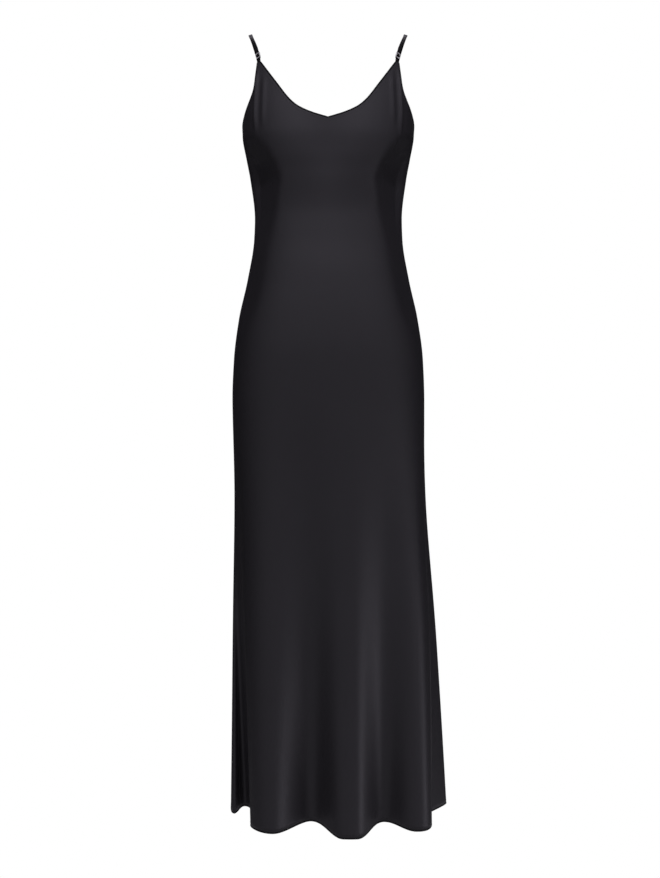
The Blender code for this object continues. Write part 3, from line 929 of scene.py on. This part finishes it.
def softbox(name, place, target, size, power):
    data = bpy.data.lights.new(name, "AREA")
    data.shape = "RECTANGLE"
    data.size, data.size_y = size
    data.energy = power
    data.color = LIGHT_TINT
    made = bpy.data.objects.new(name, data)
    made.location = place
    made.rotation_mode = "QUATERNION"
    made.rotation_quaternion = (Vector(target) - Vector(place)).to_track_quat("-Z", "Y")
    made.visible_camera = False
    bpy.context.scene.collection.objects.link(made)
    return made


def build_studio():
    scene = bpy.context.scene
    scene.view_settings.view_transform = "Standard"
    world = bpy.data.worlds.new("studio")
    scene.world = world
    world.use_nodes = True
    nodes = world.node_tree.nodes
    links = world.node_tree.links
    nodes.clear()
    seen = nodes.new("ShaderNodeBackground")
    seen.inputs["Color"].default_value = (1.0, 1.0, 1.0, 1.0)
    lit = nodes.new("ShaderNodeBackground")
    lit.inputs["Color"].default_value = (*LIGHT_TINT, 1.0)
    # the unseen room is bright in front and dark behind and below
    where = nodes.new("ShaderNodeTexCoord")
    axes = nodes.new("ShaderNodeSeparateXYZ")
    links.new(where.outputs["Generated"], axes.inputs["Vector"])
    shares = []
    for axis, dark_at, bright_at in (("Y", 0.30, -0.65), ("Z", -0.48, 0.12)):
        share = nodes.new("ShaderNodeMapRange")
        share.interpolation_type = "SMOOTHSTEP"
        share.inputs["From Min"].default_value = dark_at
        share.inputs["From Max"].default_value = bright_at
        links.new(axes.outputs[axis], share.inputs["Value"])
        shares.append(share.outputs["Result"])
    both = nodes.new("ShaderNodeMath")
    both.operation = "MULTIPLY"
    links.new(shares[0], both.inputs[0])
    links.new(shares[1], both.inputs[1])
    level = nodes.new("ShaderNodeMath")
    level.operation = "MULTIPLY_ADD"
    level.inputs[1].default_value = ROOM_BRIGHT
    level.inputs[2].default_value = ROOM_DARK
    links.new(both.outputs["Value"], level.inputs[0])
    links.new(level.outputs["Value"], lit.inputs["Strength"])
    path = nodes.new("ShaderNodeLightPath")
    mix = nodes.new("ShaderNodeMixShader")
    output = nodes.new("ShaderNodeOutputWorld")
    links.new(path.outputs["Is Camera Ray"], mix.inputs["Fac"])
    links.new(lit.outputs["Background"], mix.inputs[1])
    links.new(seen.outputs["Background"], mix.inputs[2])
    links.new(mix.outputs["Shader"], output.inputs["Surface"])

    softbox("top_box", (0.50, -1.30, 2.25), (0, 0, -0.55), (1.8, 1.6), 13)
    softbox("right_box", (1.90, -1.90, 1.00), (0, 0, -0.65), (1.5, 1.5), 2)
    softbox("back_box", (0.0, 2.3, 2.4), (0, 0, -0.50), (2.4, 1.4), 16)
    softbox("left_box", (-1.60, -2.20, 0.90), (0, 0, -0.55), (1.5, 1.5), 3)
    chest = softbox("chest_box", (0.0, -1.5, 0.60), (0, 0, -0.05), (1.6, 0.6), 0.15)
    chest.data.spread = math.radians(46)
    low = softbox("low_box", (2.2, -0.8, -1.65), (0, -0.1, -1.30), (1.5, 0.9), 1.0)
    low.data.spread = math.radians(60)

    # a narrow lamp on the strap points and their sliders
    data = bpy.data.lights.new("point_lamp", "SPOT")
    data.energy = 400
    data.color = LIGHT_TINT
    data.spot_size = math.radians(6.5)
    data.spot_blend = 0.8
    data.shadow_soft_size = 0.25
    lamp = bpy.data.objects.new("point_lamp", data)
    lamp.location = (0.0, -2.2, 2.4)
    lamp.rotation_mode = "QUATERNION"
    lamp.rotation_quaternion = (Vector((0.0, -0.09, -0.035)) - lamp.location).to_track_quat("-Z", "Y")
    scene.collection.objects.link(lamp)


def build_floor():
    """A plain pale floor below the picture's lower edge."""
    half_width = 4.0
    near = -3.0
    far = 2.65
    rows = 20
    points = []
    for r in range(rows + 1):
        depth = near + (far - near) * r / rows
        points += [(-half_width, depth, FLOOR_HEIGHT), (half_width, depth, FLOOR_HEIGHT)]
    faces = [(2 * r, 2 * r + 1, 2 * r + 3, 2 * r + 2) for r in range(rows)]
    floor = link_mesh("floor", points, faces)
    material, nodes, links, shader = new_material("pale_floor", (0.82, 0.82, 0.83, 1.0), 0.7)
    grain = nodes.new("ShaderNodeTexNoise")
    grain.inputs["Scale"].default_value = 60.0
    bump = nodes.new("ShaderNodeBump")
    bump.inputs["Strength"].default_value = 0.05
    links.new(grain.outputs["Fac"], bump.inputs["Height"])
    links.new(bump.outputs["Normal"], shader.inputs["Normal"])
    shader.inputs["Emission Color"].default_value = (1.0, 1.0, 1.0, 1.0)
    shader.inputs["Emission Strength"].default_value = 0.07
    floor.data.materials.append(material)


# ---------------------------------------------------------------- the dress
build_camera()
build_studio()
build_floor()

cloth_material = satin("satin_charcoal", CHARCOAL, CHARCOAL_LIGHT, 0.42, 0.58)

front_columns = np.concatenate((-FRONT_HALF[:0:-1], FRONT_HALF))
back_columns = np.concatenate((BACK_HALF, 360 - BACK_HALF[-2::-1]))
front = build_panel("front_cloth", front_columns, cloth_material, "front_panel")
back = build_panel("back_cloth", back_columns, cloth_material, "back_panel")

# the turned edges at the neck, armholes, back top and hem take a darker satin that paints the shade
# along the edges
shaded_edge_material = shaded_edge_satin("satin_turned_edge_painted_shade")
neck_around = np.linspace(-POINT_INNER, POINT_INNER, NECK_PLACES)
neck = ClothEdge(neck_around, top_edge(neck_around), 1)
arm_around = spread(((POINT_OUTER + POINT_MARGIN, 62.0, 30), (62.0, FRONT_END, 40)))
arm_right = ClothEdge(arm_around, top_edge(arm_around), 1)
arm_left = ClothEdge(-arm_around[::-1], top_edge(arm_around[::-1]), 1)
back_around = np.linspace(BACK_START, BACK_END, BACK_PLACES)
back_edge = ClothEdge(back_around, top_edge(back_around), 1)
hem_front_around = np.linspace(-FRONT_END, FRONT_END, HEM_PLACES)
hem_front = ClothEdge(hem_front_around, hem_points(hem_front_around)[..., 2], -1)
hem_back_around = np.linspace(BACK_START, BACK_END, HEM_PLACES)
hem_back = ClothEdge(hem_back_around, hem_points(hem_back_around)[..., 2], -1)

front_hems = []
back_hems = []
for name, edge, ends, group in (
    ("neck_edge", neck, (True, True), front_hems),
    ("arm_right_edge", arm_right, (True, False), front_hems),
    ("arm_left_edge", arm_left, (False, True), front_hems),
    ("back_top_edge", back_edge, (False, False), back_hems),
    ("hem_front_edge", hem_front, (False, False), front_hems),
    ("hem_back_edge", hem_back, (False, False), back_hems),
):
    keep = narrowing(edge, ends)
    group.append(build_strip(name, edge, TURNED_EDGE, keep, shaded_edge_material))

for word, around, side in (("right", 90.0, 1), ("left", 270.0, -1)):
    top = float(top_edge(np.array([around]))[0])
    bottom = float(hem_points(np.array([around]))[0, 2])
    seam_height = np.linspace(top - SEAM_END, bottom + SEAM_END, SEAM_PLACES)
    seam = ClothEdge(np.full(SEAM_PLACES, around), seam_height, -side)
    back_hems.append(build_strip("seam_" + word, seam, INSIDE_SEAM, 1.0, cloth_material))

thread_material = thread("thread_charcoal")
front_hems.append(build_stitches("front_stitches", [
    stitch_run(neck, STITCH_INWARD, (POINT_SKIP, POINT_SKIP)),
    stitch_run(arm_right, STITCH_INWARD, (POINT_SKIP, 0.0)),
    stitch_run(arm_left, STITCH_INWARD, (0.0, POINT_SKIP)),
    stitch_run(hem_front, STITCH_INWARD),
], thread_material))
back_hems.append(build_stitches("back_stitches", [
    stitch_run(back_edge, STITCH_INWARD),
    stitch_run(hem_back, STITCH_INWARD),
], thread_material))

strap_material = ribbon("strap_black_satin")
silver_material = silver("slider_silver")
line = StrapLine()
for word, side in (("left", -1), ("right", 1)):
    build_strap(word, line, side, strap_material, "strap_" + word)
    build_stitches("strap_" + word + "_stitches", tack_runs(line, side), thread_material)
    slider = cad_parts["slider_" + word]
    for place in slider.material_slots:
        place.material = silver_material
